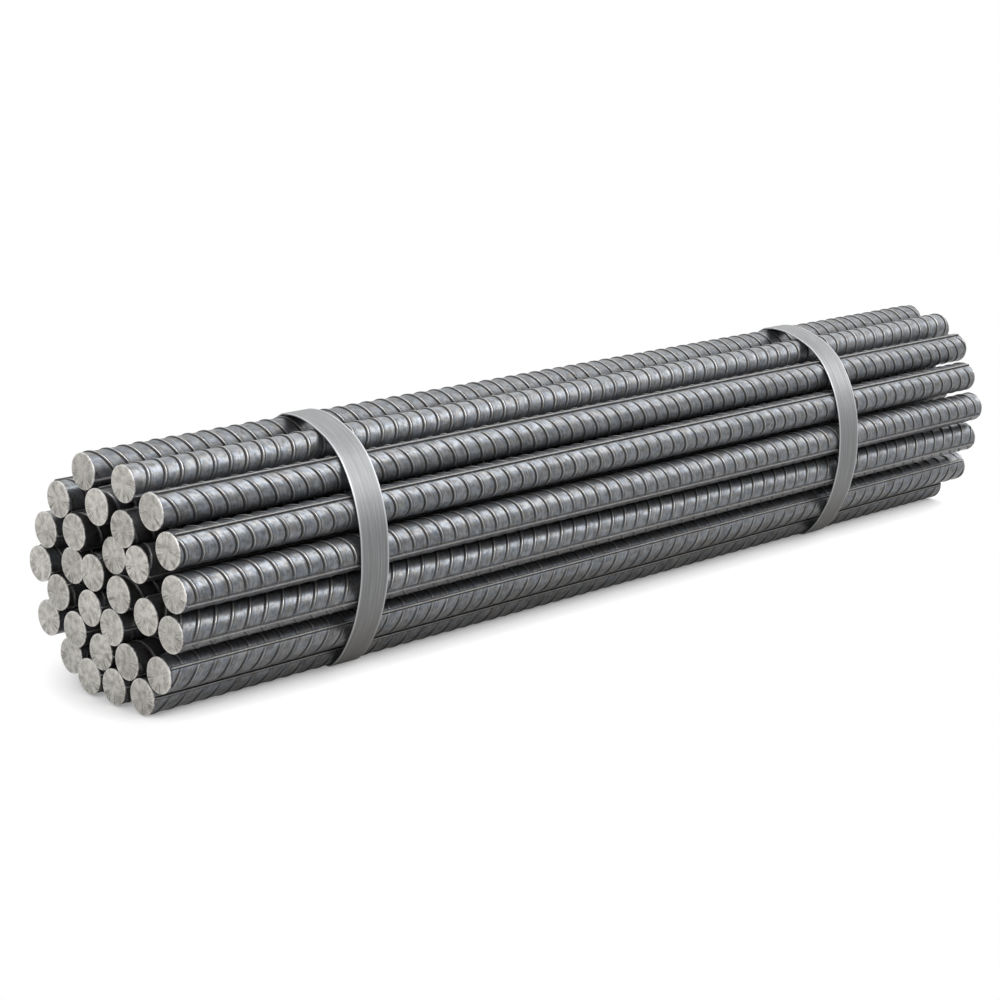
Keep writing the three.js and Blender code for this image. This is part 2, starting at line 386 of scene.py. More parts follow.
def cold_rolled_strip(settings):
    """Cold-rolled steel strapping: plain grey, satin, with fine scratches along the strip."""
    material, tree, shader = new_material("cold_rolled_strip")
    place = add_node(tree, "ShaderNodeAttribute", {"attribute_name": "along"}).outputs["Vector"]
    edge = add_node(tree, "ShaderNodeAttribute", {"attribute_name": "edge"}).outputs["Fac"]
    # Real rolling scratches are some hundredths of a millimetre wide. They are drawn 0.4 mm wide.
    fine = grain(tree, place, (50.0, 0.4, 1.0), 3.0, 0.6)
    broad = grain(tree, place, (80.0, 2.2, 1.0), 3.0)
    clouds = grain(tree, place, (28.0, 10.0, 1.0), 3.0)
    colour = settings.strip_hex
    for shade, *band in (
        (settings.light_hex, fine, 0.48, 0.66, 0.0, 0.42),
        (settings.dark_hex, broad, 0.50, 0.70, 0.0, 0.22),
        (settings.edge_hex, edge, 0.0, 1.0, 0.0, 0.9),
    ):
        colour = coat(tree, colour, shade, band)
    tree.links.new(colour, shader.inputs["Base Color"])
    shader.inputs["Metallic"].default_value = 0.65
    tree.links.new(amount(tree, (clouds, 0.3, 0.7, 0.42, 0.52)), shader.inputs["Roughness"])
    relief(tree, shader, (fine, 0.02), (clouds, 0.10))
    return material


# ---------------------------------------------------------------- bars

# Depth below its farthest points in which a bar's section still is the crest of its lengthwise rib, in
# millimetres.
CREST_BAND = 0.05

# A strap's outline is met by rays from the pile's middle, each of which goes on from just behind the inner
# face to the outer one. It is then taken at even steps, in millimetres, and smoothed over a window of them.
# It is lapped where the steel is more than this many layers thick.
STRAP_RAYS = 720
RAY_NUDGE = 0.05
OUTLINE_STEP = 1.0
SMOOTH_WINDOW = 9
LAPPED_LAYERS = 1.5


def mesh_points(mesh):
    """A mesh's points, one in each row."""
    points = np.empty(len(mesh.vertices) * 3)
    mesh.vertices.foreach_get("co", points)
    return points.reshape(-1, 3)


def section_ways(angles):
    """Directions across the bundle, as (y, z), of angles counted from straight up towards -Y."""
    return np.stack([-np.sin(angles), np.cos(angles)], -1)


def bar_facts(name):
    """Where a bar lies, in millimetres: its front end, length and axis, and the angle of its lengthwise rib,
    counted from straight up towards -Y and held between -90 and 90 degrees."""
    points = mesh_points(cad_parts[name].data) / MM
    number = int(name.split("_")[1])
    axis = (points[:, 1:].min(0) + points[:, 1:].max(0)) / 2
    offsets = points[:, 1:] - axis
    reach = np.hypot(offsets[:, 0], offsets[:, 1])
    crest = offsets[reach > reach.max() - CREST_BAND]
    doubled = np.exp(2j * np.arctan2(-crest[:, 0], crest[:, 1])).sum()
    return {
        "number": number,
        "start": points[:, 0].min(),
        "length": np.ptp(points[:, 0]),
        "axis": axis,
        "rib_angle": (math.degrees(np.angle(doubled) / 2) + TURNED_ON.get(number, 0) + 90) % 180 - 90,
        "crest_radius": reach.max(),
    }


FACTS = {name: bar_facts(name) for name in BARS}
PILE_MIDDLE = np.mean([facts["axis"] for facts in FACTS.values()], axis=0)


def strap_facts(name):
    """How a strap's CAD node lies, in millimetres: its place along the bars where y is 0, its skew as run
    along the bars for each millimetre across, its width, thickness, inner outline as (y, z) points round the
    pile with their outward normals, and which of them lie under the lap."""
    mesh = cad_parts[name].data
    points = mesh_points(mesh) / MM
    skew = np.polyfit(points[:, 1], points[:, 0], 1)[0]
    shifts = points[:, 0] - skew * points[:, 1]
    middle = (shifts.min() + shifts.max()) / 2
    tree = BVHTree.FromPolygons(points.tolist(), [tuple(face.vertices) for face in mesh.polygons])
    start = Vector((middle + skew * PILE_MIDDLE[0], *PILE_MIDDLE))
    inner, outer = [], []
    for angle in np.linspace(0, 2 * math.pi, STRAP_RAYS, endpoint=False):
        way = Vector((skew * math.sin(angle), math.sin(angle), -math.cos(angle)))
        hit = tree.ray_cast(start, way)[0]
        inner.append(hit.yz)
        outer.append(tree.ray_cast(hit + RAY_NUDGE * way, way)[0].yz)
    inner, outer = even_steps(np.array(inner), np.array(outer))
    inner = smoothed(inner)
    normals = outward(inner)
    gaps = ((outer - inner) * normals).sum(1)
    thickness = np.median(gaps)
    return {
        "middle": middle,
        "skew": skew,
        "width": np.ptp(shifts),
        "thickness": thickness,
        "inner": inner,
        "normals": normals,
        "lapped": gaps > LAPPED_LAYERS * thickness,
    }


def even_steps(outline, partner):
    """A closed outline's points, and their partners on a second one, at even steps along the first."""
    closed = np.vstack([outline, outline[:1]])
    follow = np.vstack([partner, partner[:1]])
    way = np.concatenate([[0.0], np.cumsum(np.hypot(*np.diff(closed, axis=0).T))])
    places = np.linspace(0, way[-1], round(way[-1] / OUTLINE_STEP), endpoint=False)
    return [
        np.stack([np.interp(places, way, points[:, k]) for k in (0, 1)], -1) for points in (closed, follow)
    ]


def smoothed(outline):
    """A closed outline with each point drawn towards the mean of its neighbours."""
    weights = np.hanning(SMOOTH_WINDOW + 2)[1:-1]
    weights /= weights.sum()
    half = SMOOTH_WINDOW // 2
    return sum(weight * np.roll(outline, half - k, axis=0) for k, weight in enumerate(weights))


def outward(outline):
    """Outward normals of a closed outline that runs from the bottom towards +Y and up."""
    edge = np.roll(outline, -1, axis=0) - np.roll(outline, 1, axis=0)
    edge /= np.hypot(*edge.T)[:, None]
    return np.stack([edge[:, 1], -edge[:, 0]], -1)


STRAP_FACTS = {name: strap_facts(name) for name in STRAPS}

# Gap that a bar keeps to what it would reach into, in millimetres, and the least lean of a direction towards
# it that is reckoned with. Past a strap's edges the bar is held back over a margin, in millimetres.
CLEARANCE = 0.02
LEAST_LEAN = 0.3
STRAP_MARGIN = 1.5


def room_beside_bars(facts, ways):
    """How far a bar may reach each way before it meets the bars beside it, in millimetres. Where two bars
    bear on each other, their ribs are pressed flat against one plane."""
    room = np.full(len(ways), np.inf)
    for other in FACTS.values():
        offset = other["axis"] - facts["axis"]
        distance = np.hypot(*offset)
        if 0 < distance < 2 * facts["crest_radius"]:
            lean = np.maximum(ways @ (offset / distance), LEAST_LEAN)
            room = np.minimum(room, (distance / 2 - CLEARANCE) / lean)
    return room


def room_in_strap(facts, ways, strap):
    """How far a bar may reach each way before it meets a strap, in millimetres."""
    heights = ((strap["inner"] - facts["axis"]) * strap["normals"]).sum(1) - CLEARANCE
    lean = np.maximum(ways @ strap["normals"].T, LEAST_LEAN)
    return (heights / lean).min(1)


def held_back(facts, along, ways, radius):
    """The radius of a bar's skin, held back from the bars beside it and from the straps."""
    radius = np.minimum(radius, room_beside_bars(facts, ways)[None, :])
    for strap in STRAP_FACTS.values():
        across = facts["axis"][0] + radius * ways[None, :, 0]
        strap_place = strap["middle"] + strap["skew"] * across - facts["start"]
        under = np.abs(along - strap_place) < strap["width"] / 2 + STRAP_MARGIN
        radius = np.where(under, np.minimum(radius, room_in_strap(facts, ways, strap)[None, :]), radius)
    return radius


def rib_run(facts, random):
    """How the cross ribs of a bar run, in millimetres: slant over half the round, bow and first rib, and
    the bar's share of the usual pitch."""
    if facts["number"] in RIB_RUN:
        *run, pitch_share = RIB_RUN[facts["number"]]
        return (*(DIAMETER * share for share in run), pitch_share)
    slant = random.choice([-1, 1]) * random.uniform(*OTHER_RUNS)
    bow = DIAMETER * OTHER_BOW * random.uniform(-1, 1)
    return DIAMETER * slant, bow, DIAMETER * random.uniform(0, OTHER_FIRST), 1.0


# Width of a lengthwise rib at its crest and at its foot, in millimetres, with how bright its crest is rubbed
# and how much dirt lies at its foot, which is partly painted shade in the crease there.
LONG_RIB_CREST = 0.9
LONG_RIB_FOOT = 2.1
LONG_RIB_RUB = 0.91
LONG_RIB_DIRT_AND_SHADE = 0.7

# Steps round a bar in degrees: where an outer bar faces out of the pile, where it faces in, and on inner
# bars. A direction faces out where its lean away from the pile is more than the one given. The steps are
# summed up over many fine places and leave a margin beside the lengthwise ribs, in degrees.
FACING_STEP, HIDDEN_STEP, INNER_STEP = 7.5, 20.0, 18.0
FACING_LEAN = -0.15
FINE_PLACES = 200
LONG_RIB_MARGIN = 3.0
LEAST_COLUMNS = 4


def around_bar(facts):
    """Angles round a bar from its lengthwise rib, in degrees, with how much of that rib stands at each."""
    crest = math.degrees(LONG_RIB_CREST / 2 / facts["crest_radius"])
    foot = math.degrees(LONG_RIB_FOOT / 2 / facts["crest_radius"])
    away = facts["axis"] - PILE_MIDDLE
    away_angle = math.degrees(math.atan2(-away[0], away[1])) - facts["rib_angle"]
    columns = []
    for turn in (0, 180):
        columns += [(turn + side, stand) for side, stand in ((-foot, 0), (-crest, 1), (crest, 1), (foot, 0))]
        fine = np.linspace(turn + foot + LONG_RIB_MARGIN, turn + 180 - foot - LONG_RIB_MARGIN, FINE_PLACES)
        facing = np.cos(np.radians(fine - away_angle)) > FACING_LEAN
        step = np.where(facing, FACING_STEP, HIDDEN_STEP) if facts["number"] in OUTER else INNER_STEP
        count = np.cumsum(np.full(FINE_PLACES, fine[1] - fine[0]) / step)
        places = np.linspace(count[0], count[-1], max(LEAST_COLUMNS, round(count[-1])))
        columns += [(angle, 0) for angle in np.interp(places, count, fine)]
    return np.array(columns, dtype=float).T


# Rows along one cross rib: the side and edge of the rib that a row follows, how much of the rib stands there
# and how much dirt lies there, which is partly painted shade in the creases at its feet. The lee of a rib,
# towards the front end and away from the key lamp, keeps more of it than its other side.
RIB_ROWS = ((-1, "foot", 0.12, 1.0), (-1, "crest", 1.0, 0.3), (1, "crest", 1.0, 0.0), (1, "foot", 0.15, 0.6))

# The hollow beside a cross rib of an outer bar: its width in millimetres on either side of the rib's feet,
# with how much of the rib stands at its end.
RIB_HOLLOWS = ((-0.9, 0.02), (0.8, 0.03))


def rib_profile(facts, settings):
    """Rows along one cross rib's pitch: distance from its middle, how much of the rib stands there and how
    much dirt and painted shade lie there."""
    half = {"foot": settings.rib_foot / MM / 2, "crest": settings.rib_crest / MM / 2}
    rows = [(side * half[edge], stand, dirt_and_shade) for side, edge, stand, dirt_and_shade in RIB_ROWS]
    if facts["number"] in OUTER:
        before, after = [(math.copysign(half["foot"], gap) + gap, stand, 0.0) for gap, stand in RIB_HOLLOWS]
        rows = [before, *rows, after]
    return np.array(rows).T


# Share of their height that the cross ribs keep at an angle from straight up: low underneath, where a bar
# was dragged over the skids.
UNDERSIDE = ((125.0, 160.0), (1.0, 0.45))

# Share of their rubbed crest colour that the cross ribs keep at an angle from straight up: a painted
# highlight, full on the bar's upper side, where the light falls, and fading lower down.
UPPER_CREST_HIGHLIGHT = ((65.0, 115.0), (1.0, 0.81))

# How steeply the cross ribs run out at the lengthwise ribs, how much each differs from the next in height, as
# a share of it, and in place, in millimetres.
RUN_OUT_POWER = 8
RIB_HEIGHT_SPREAD = 0.10
RIB_PLACE_SPREAD = 0.15

# Depth, number and greatest length of the waves in the skin, slow and quick, in millimetres, and in the
# height of the lengthwise ribs, where the depth is a share of it.
SLOW_WAVES = (0.05, 6, 90)
QUICK_WAVES = (0.03, 5, 9)
LONG_RIB_WAVES = (0.08, 5, 60)


def ripple(random, along, round_angle, depth, waves, longest):
    """A smooth uneven surface within a depth to either side, the same on each run. Each of its waves is
    between a quarter and all of the longest one, and winds one to four times round."""
    total = np.zeros(np.broadcast(along, round_angle).shape)
    for _ in range(waves):
        length = longest * random.uniform(0.25, 1.0)
        turns = random.integers(1, 5)
        phase = random.uniform(0, 2 * math.pi)
        total += np.sin(2 * math.pi * along / length + turns * round_angle + phase)
    return depth * (total / waves)


def rolled_skin(facts, settings):
    """The ribbed skin of one bar from its front end, in millimetres. Its rows follow the cross ribs, so each
    rib has a sharp outline with few faces. Returns the points, what is stored on them, and the faces."""
    random = np.random.default_rng(facts["number"])
    slant, bow, first, pitch_share = rib_run(facts, random)
    theta, long_rib = around_bar(facts)
    beside = [k + step for k in np.flatnonzero(long_rib) for step in (-1, 1)]
    long_foot = np.isin(np.arange(len(theta)), beside)
    offsets, stands, dirt_and_shade = rib_profile(facts, settings)
    share = np.mod(theta, 180) / 180
    far_side = np.mod(theta, 360) >= 180
    shift = slant * np.where(far_side, 1 - share, share)
    shift += np.where(far_side, -4, 4) * bow * share * (1 - share)
    pitch = settings.rib_pitch / MM * pitch_share
    margin = abs(slant) + abs(bow) + pitch
    last = math.ceil((facts["length"] + margin) / pitch)
    ribs = np.arange(-math.ceil((margin + first) / pitch), last + 1)
    heights = 1 + RIB_HEIGHT_SPREAD * random.uniform(-1, 1, len(ribs))
    places = ribs * pitch + RIB_PLACE_SPREAD * random.uniform(-1, 1, len(ribs)) + first
    rows = (places[:, None] + offsets[None, :]).ravel()
    stand = (heights[:, None] * stands[None, :]).ravel()
    along = rows[:, None] + shift[None, :]
    angle = np.radians(theta + facts["rib_angle"])
    ways = section_ways(angle)
    below = np.abs((theta + facts["rib_angle"] + 180) % 360 - 180)
    fade = (1 - np.abs(2 * share - 1) ** RUN_OUT_POWER) * np.interp(below, *UNDERSIDE)
    core = settings.core / MM / 2
    cross = stand[:, None] * fade[None, :] * settings.rib_height / MM
    worn = 1 + ripple(random, along, 0 * angle, *LONG_RIB_WAVES)
    lengthwise = (facts["crest_radius"] - core) * long_rib[None, :] * worn
    uneven = ripple(random, along, angle, *SLOW_WAVES) + ripple(random, along, angle, *QUICK_WAVES)
    radius = held_back(facts, along, ways, core + np.maximum(cross, lengthwise) + uneven)
    points = np.stack([along, radius * ways[None, :, 0], radius * ways[None, :, 1]], -1)
    # The crests are rubbed lighter on the bar's upper side: a painted highlight where the light falls.
    rub_and_highlight = fade * np.interp(below, *UPPER_CREST_HIGHLIGHT) * (1 - long_rib)
    crest = stand[:, None] * rub_and_highlight[None, :] + LONG_RIB_RUB * long_rib[None, :]
    # Dirt at the feet of the ribs, partly painted shade in those creases and on the lee side away from the
    # key lamp.
    grime_and_shade = np.tile(dirt_and_shade, len(ribs))[:, None] * fade[None, :]
    grime_and_shade = np.maximum(grime_and_shade * (1 - long_rib[None, :]), LONG_RIB_DIRT_AND_SHADE * long_foot[None, :])
    grime_and_shade = np.maximum(grime_and_shade, DUSTY.get(facts["number"], 0.0))
    run = np.broadcast_to(rows[:, None], along.shape)
    index = np.arange(along.size).reshape(along.shape)
    right = np.roll(index, -1, axis=1)
    faces = np.stack([index[:-1], right[:-1], right[1:], index[1:]], -1).reshape(-1, 4)
    return points.reshape(-1, 3), {"crest": np.clip(crest, 0, 1), "grime_and_shade": grime_and_shade, "run": run}, faces


# A cut end, from the skin's edge inwards: distance from the cut plane, share of the cut's radius, and how
# uneven the ring is, in millimetres. The first two rings end the round collar.
COLLAR = 2.0
COLLAR_RINGS = 2
END_RINGS = (
    (1.0, 1.0, 0.30),
    (0.30, 1.0, 0.03),
    (0.02, 0.968, 0.06),
    (-0.02, 0.90, 0.07),
    (0.0, 0.62, 0.06),
    (0.0, 0.30, 0.04),
)
END_COLUMNS = 60
END_SEED = 1000

# Chips out of the ring that is the cut's edge: spread of their depth, how much of it most lack, the deepest,
# all in millimetres, and how far each goes along the bar as a share of its depth.
CHIPPED_RING = 2
CHIP_SPREAD, CHIP_LACK, DEEPEST_CHIP = 0.35, 0.25, 0.5
CHIP_SLOPE = 0.4

# Points this near to a cut's plane aren't cut off from it, and after the cut those this near lie in it, in
# millimetres.
CUT_TOLERANCE = 1e-5
ON_PLANE = 1e-3


def turn_of(vert):
    """Angle of a bar's point round its axis."""
    return math.atan2(vert.co.z, vert.co.y)


def zip_rings(bm, outside, inside, outward_way):
    """Fills the strip between two rings of points that are sorted by their angle, whatever their counts."""
    first, second = [[*ring, ring[0]] for ring in (outside, inside)]
    turns = [[turn_of(vert) for vert in ring] for ring in (outside, inside)]
    turns = [[*ring, ring[0] + 2 * math.pi] for ring in turns]
    faces, a, b = [], 0, 0
    while a < len(outside) or b < len(inside):
        ahead = b == len(inside) or (a < len(outside) and turns[0][a + 1] <= turns[1][b + 1])
        third = first[a + 1] if ahead else second[b + 1]
        faces.append(bm.faces.new([first[a], third, second[b]][::outward_way]))
        a, b = (a + 1, b) if ahead else (a, b + 1)
    return faces


def close_end(bm, plane, outward_way, radius, random):
    """Closes one cut end of a bar: a round collar, a worn edge and a face of slightly uneven sectors. Returns
    the faces that were cut."""
    rim = [vert for vert in bm.verts if abs(vert.co.x - plane + outward_way * COLLAR) < ON_PLANE]
    angles = np.linspace(-math.pi, math.pi, END_COLUMNS, endpoint=False)
    ridges = random.uniform(-1, 1, END_COLUMNS)
    chips = np.clip(random.normal(0, CHIP_SPREAD, END_COLUMNS) - CHIP_LACK, 0, DEEPEST_CHIP)
    rings = [sorted(rim, key=turn_of)]
    for k, (depth, share, uneven) in enumerate(END_RINGS):
        chipped = chips if k == CHIPPED_RING else 0 * chips
        reach = radius * share - chipped
        heights = plane - outward_way * (depth + uneven * ridges + CHIP_SLOPE * chipped)
        rings.append([
            bm.verts.new((height, across * math.cos(angle), across * math.sin(angle)))
            for height, across, angle in zip(heights, reach, angles)
        ])
    bands = [zip_rings(bm, *pair, outward_way) for pair in zip(rings, rings[1:])]
    middle = bm.verts.new((plane, 0, 0))
    for k, vert in enumerate(rings[-1]):
        corners = [vert, rings[-1][(k + 1) % END_COLUMNS], middle]
        bands[-1].append(bm.faces.new(corners[::outward_way]))
    for band in bands[:COLLAR_RINGS]:
        for face in band:
            face.smooth = True
    return [face for band in bands[1:] for face in band]


# Edges sharper than this are drawn hard, on bars and on straps.
SHARP_SKIN, SHARP_STRIP = math.radians(28), math.radians(40)

# Pieces take their patterns this far apart, in millimetres, so that no two look alike.
PATTERN_STEP = 1000.0


def store(mesh, name, kind, values):
    """Stores values on a mesh's points."""
    field = "vector" if kind == "FLOAT_VECTOR" else "value"
    mesh.attributes.new(name, kind, "POINT").data.foreach_set(field, np.asarray(values, np.float32).ravel())


def add_object(name, data):
    """A new object in the scene."""
    item = bpy.data.objects.new(name, data)
    bpy.context.scene.collection.objects.link(item)
    return item


def make_bar(name, settings, materials):
    """Builds one ribbed bar in place of its CAD node."""
    facts = FACTS[name]
    random = np.random.default_rng(END_SEED + facts["number"])
    points, stored, faces = rolled_skin(facts, settings)
    mesh = bpy.data.meshes.new(name + "_ribbed")
    mesh.from_pydata(points.tolist(), [], faces.tolist())
    for key, values in stored.items():
        store(mesh, key, "FLOAT", values)
    bm = bmesh.new()
    bm.from_mesh(mesh)
    for face in bm.faces:
        face.smooth = True
    ends = ((0.0, -1), (facts["length"], 1))
    for plane, outward_way in ends:
        bmesh.ops.bisect_plane(
            bm, geom=bm.verts[:] + bm.edges[:] + bm.faces[:], dist=CUT_TOLERANCE, clear_outer=True,
            plane_co=(plane - outward_way * COLLAR, 0, 0), plane_no=(outward_way, 0, 0),
        )
    run = bm.verts.layers.float["run"]
    for plane, outward_way in ends:
        known = len(bm.verts)
        for face in close_end(bm, plane, outward_way, settings.cut_radius / MM, random):
            face.material_index = 1
        bm.verts.ensure_lookup_table()
        for vert in bm.verts[known:]:
            vert[run] = vert.co.x
    bm.to_mesh(mesh)
    bm.free()
    local = mesh_points(mesh)
    rows = np.empty(len(local))
    mesh.attributes["run"].data.foreach_get("value", rows)
    apart = PATTERN_STEP * facts["number"]
    store(mesh, "skin", "FLOAT_VECTOR", np.column_stack([rows + apart, local[:, 1:]]))
    store(mesh, "section", "FLOAT_VECTOR", np.column_stack([local[:, 0] + apart, local[:, 1:]]))
    placed = (local + np.array([facts["start"], *facts["axis"]])) * MM
    mesh.vertices.foreach_set("co", placed.ravel())
    mesh.set_sharp_from_angle(angle=SHARP_SKIN)
    for material in materials:
        mesh.materials.append(material)
    mesh.update()
    bar = add_object(name + "_ribbed", mesh)
    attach(bar, "root")
    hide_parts(name)


class REBAR_OT_bars(Operator):
    """Roll ribs onto the bars and cut their ends."""

    bl_idname = "rebar.bars"
    bl_label = "Bars"

    def execute(self, context):
        settings = context.scene.rebar_bars
        materials = [hot_rolled_steel(settings), cut_steel(settings)]
        for name in BARS:
            make_bar(name, settings, materials)
        return {"FINISHED"}


# ---------------------------------------------------------------- straps

# Length over which the outer end of a strap climbs onto the inner one, the hair's gap between them, and the
# welds that join them: how many, how far apart, how wide and how deep, in millimetres. The power says how
# gently a weld's dent runs out.
LAP_CLIMB = 7.0
LAP_GAP = 0.02
WELDS, WELD_SPACING, WELD_RADIUS, WELD_DEPTH = 3, 8.0, 2.6, 0.28
WELD_POWER = 1.5

# A strap's section has this many steps across its faces and these places on its rounded edges, in degrees.
# Points this near to the rounding count as edge, in millimetres.
STRAP_ACROSS = 16
EDGE_PLACES = (22.5, 67.5)
ON_EDGE = 0.01

# Waves by which the strip stands off the pile, given as for the bars' skin, how far across the strip a
# radian of them goes, and over which length they run out before the lap, in millimetres.
LIFT_WAVES = (0.08, 5, 90)
LIFT_WIDTH = 20.0
LIFT_RUN_OUT = 20.0

# Height over the floor that a strap keeps, in millimetres.
FLOOR_GAP = 0.01


def strap_path(strap):
    """The middle line of a strap's steel from its inner end once round the pile to its lapped outer end, as
    (y, z) points in millimetres, with the normals there and the distance run. Every second point is kept,
    and from the climb on each of them."""
    count = len(strap["inner"])
    first = next(k for k in range(count) if strap["lapped"][k] and not strap["lapped"][k - 1])
    steps = np.arange(count + int(strap["lapped"].sum()))
    order = (first + steps) % count
    inner, normals = strap["inner"][order], strap["normals"][order]
    length = np.concatenate([[0.0], np.cumsum(np.hypot(*np.diff(inner, axis=0).T))])
    climb = np.clip((length - length[count] + LAP_CLIMB) / LAP_CLIMB, 0, 1)
    layer = 0.5 + climb * climb * (3 - 2 * climb)
    line = inner + normals * (layer * strap["thickness"] + LAP_GAP * climb)[:, None]
    keep = (steps % 2 == 0) | (length > length[count] - LAP_CLIMB) | (steps == len(steps) - 1)
    return line[keep], normals[keep], length[keep], length[-1]


def strap_round(strap, edge):
    """Points round a strap's section: distance across the strip and height over its middle, with how near
    each is to an edge. The section is flat with rounded edges."""
    half, rise = strap["width"] / 2, strap["thickness"] / 2
    flat = np.linspace(-(half - edge), half - edge, STRAP_ACROSS + 1)
    turns = np.radians(EDGE_PLACES)
    corner = np.stack([half - edge + edge * np.sin(turns), rise - edge + edge * np.cos(turns)], -1)
    top = np.stack([flat, np.full(len(flat), rise)], -1)
    right = np.vstack([corner, corner[::-1] * [1, -1]])
    ring = np.vstack([top, right, top[::-1] * [1, -1], right[::-1] * [-1, 1]])
    return ring, (np.abs(ring[:, 0]) > half - edge - ON_EDGE).astype(float)


def weld_dents(length, across, end, lap):
    """Depth of the spot welds' dents along and across the lap, in millimetres."""
    depth = np.zeros(np.broadcast(length, across).shape)
    for k in range(WELDS):
        place = end - lap / 2 + (k - (WELDS - 1) / 2) * WELD_SPACING
        reach = np.hypot(length - place, across) / WELD_RADIUS
        depth += WELD_DEPTH * np.clip(1 - reach**2, 0, 1) ** WELD_POWER
    return depth


def make_strap(name, settings, material):
    """Builds one strap in place of its CAD node: a strip laid round the pile with its ends lapped."""
    strap = STRAP_FACTS[name]
    random = np.random.default_rng(len(name))
    line, normals, length, end = strap_path(strap)
    ring, near_edge = strap_round(strap, settings.edge / MM)
    across, height = ring[None, :, 0], ring[None, :, 1]
    run = length[:, None]
    lap = strap["lapped"].sum() * OUTLINE_STEP
    lift = ripple(random, run, across / LIFT_WIDTH, *LIFT_WAVES)
    lift = np.maximum(lift * np.clip((end - lap - run) / LIFT_RUN_OUT, 0, 1), 0)
    dents = np.where(height > 0, weld_dents(run, across, end, lap), 0)
    section = line[:, None, :] + normals[:, None, :] * (height + lift - dents)[:, :, None]
    section[:, :, 1] = np.maximum(section[:, :, 1], FLOOR_GAP)
    along = strap["middle"] + across + strap["skew"] * section[:, :, 0]
    points = np.concatenate([along[:, :, None], section], -1).reshape(-1, 3)
    index = np.arange(len(line) * len(ring)).reshape(len(line), len(ring))
    right = np.roll(index, -1, axis=1)
    sides = np.stack([index[:-1], index[1:], right[1:], right[:-1]], -1).reshape(-1, 4)
    caps = [index[0].tolist(), index[-1][::-1].tolist()]
    mesh = bpy.data.meshes.new(name + "_strip")
    mesh.from_pydata((points * MM).tolist(), [], sides.tolist() + caps)
    place = np.stack(np.broadcast_arrays(run + PATTERN_STEP * len(name), across, height), -1)
    store(mesh, "along", "FLOAT_VECTOR", place)
    store(mesh, "edge", "FLOAT", np.broadcast_to(near_edge, (len(line), len(ring))))
    mesh.polygons.foreach_set("use_smooth", np.ones(len(mesh.polygons), bool))
    mesh.set_sharp_from_angle(angle=SHARP_STRIP)
    mesh.materials.append(material)
    mesh.update()
    strip = add_object(name + "_strip", mesh)
    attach(strip, "root")
    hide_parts(name)


class REBAR_OT_straps(Operator):
    """Lay the two straps round the pile."""

    bl_idname = "rebar.straps"
    bl_label = "Straps"

    def execute(self, context):
        settings = context.scene.rebar_straps
        material = cold_rolled_strip(settings)
        for name in STRAPS:
            make_strap(name, settings, material)
        return {"FINISHED"}


# ---------------------------------------------------------------- stage

# Near the object the floor is this share of plain white over its own shade, in what metal shows of it and in
# what the eye sees. Past the ends, between these distances in metres, it runs out into plain white. To the
# sides it does so in half the distance.
SHADOW_SHARES = (0.60, 0.25)
SHADOW_REACH = (0.45, 0.485)
SHADOW_SHAPE = (1.0, 2.0, 1.0)

# At the foot of the bundle metal shows the board in its darker bounce colour with its shade, a painted shade
# that the eye doesn't see there. Between these distances from the bundle's middle line, in metres, that runs
# out into white. The zone is five times as long as wide.
FOOT_SHADE_REACH = (0.088, 0.142)
FOOT_SHADE_SHAPE = (0.2, 1.0, 1.0)

# Half the side of the square floor, in metres.
FLOOR_HALF = 12.0


def sun_lamp(name, light, source, angle, glossy=True):
    """A wide, far lamp. Its light is the share that a white surface facing it sends back."""
    data = bpy.data.lights.new(name, "SUN")
    data.energy = light * math.pi
    data.angle = angle
    lamp = add_object(name, data)
    lamp.rotation_euler = Vector(source).to_track_quat("Z", "Y").to_euler()
    lamp.visible_glossy = glossy


def seen_directly(tree):
    """1 for rays that come from the camera, off metal or through glass, otherwise 0."""
    path = add_node(tree, "ShaderNodeLightPath")
    seen = path.outputs["Is Camera Ray"]
    for ray in ("Is Glossy Ray", "Is Transmission Ray"):
        seen = add_node(tree, "ShaderNodeMath", {"operation": "MAXIMUM"}, {0: seen, 1: path.outputs[ray]})
    return seen.outputs[0]


def white_world(strength):
    """A plain sky that is seen as white and lights the object with a strength of its own."""
    world = bpy.data.worlds.new("white_studio")
    bpy.context.scene.world = world
    world.use_nodes = True
    tree = world.node_tree
    tree.nodes.clear()
    light = amount(tree, (seen_directly(tree), 0.0, 1.0, strength, 1.0))
    background = add_node(tree, "ShaderNodeBackground", {"Color": (1, 1, 1, 1)}, {"Strength": light})
    add_node(tree, "ShaderNodeOutputWorld", links={"Surface": background})


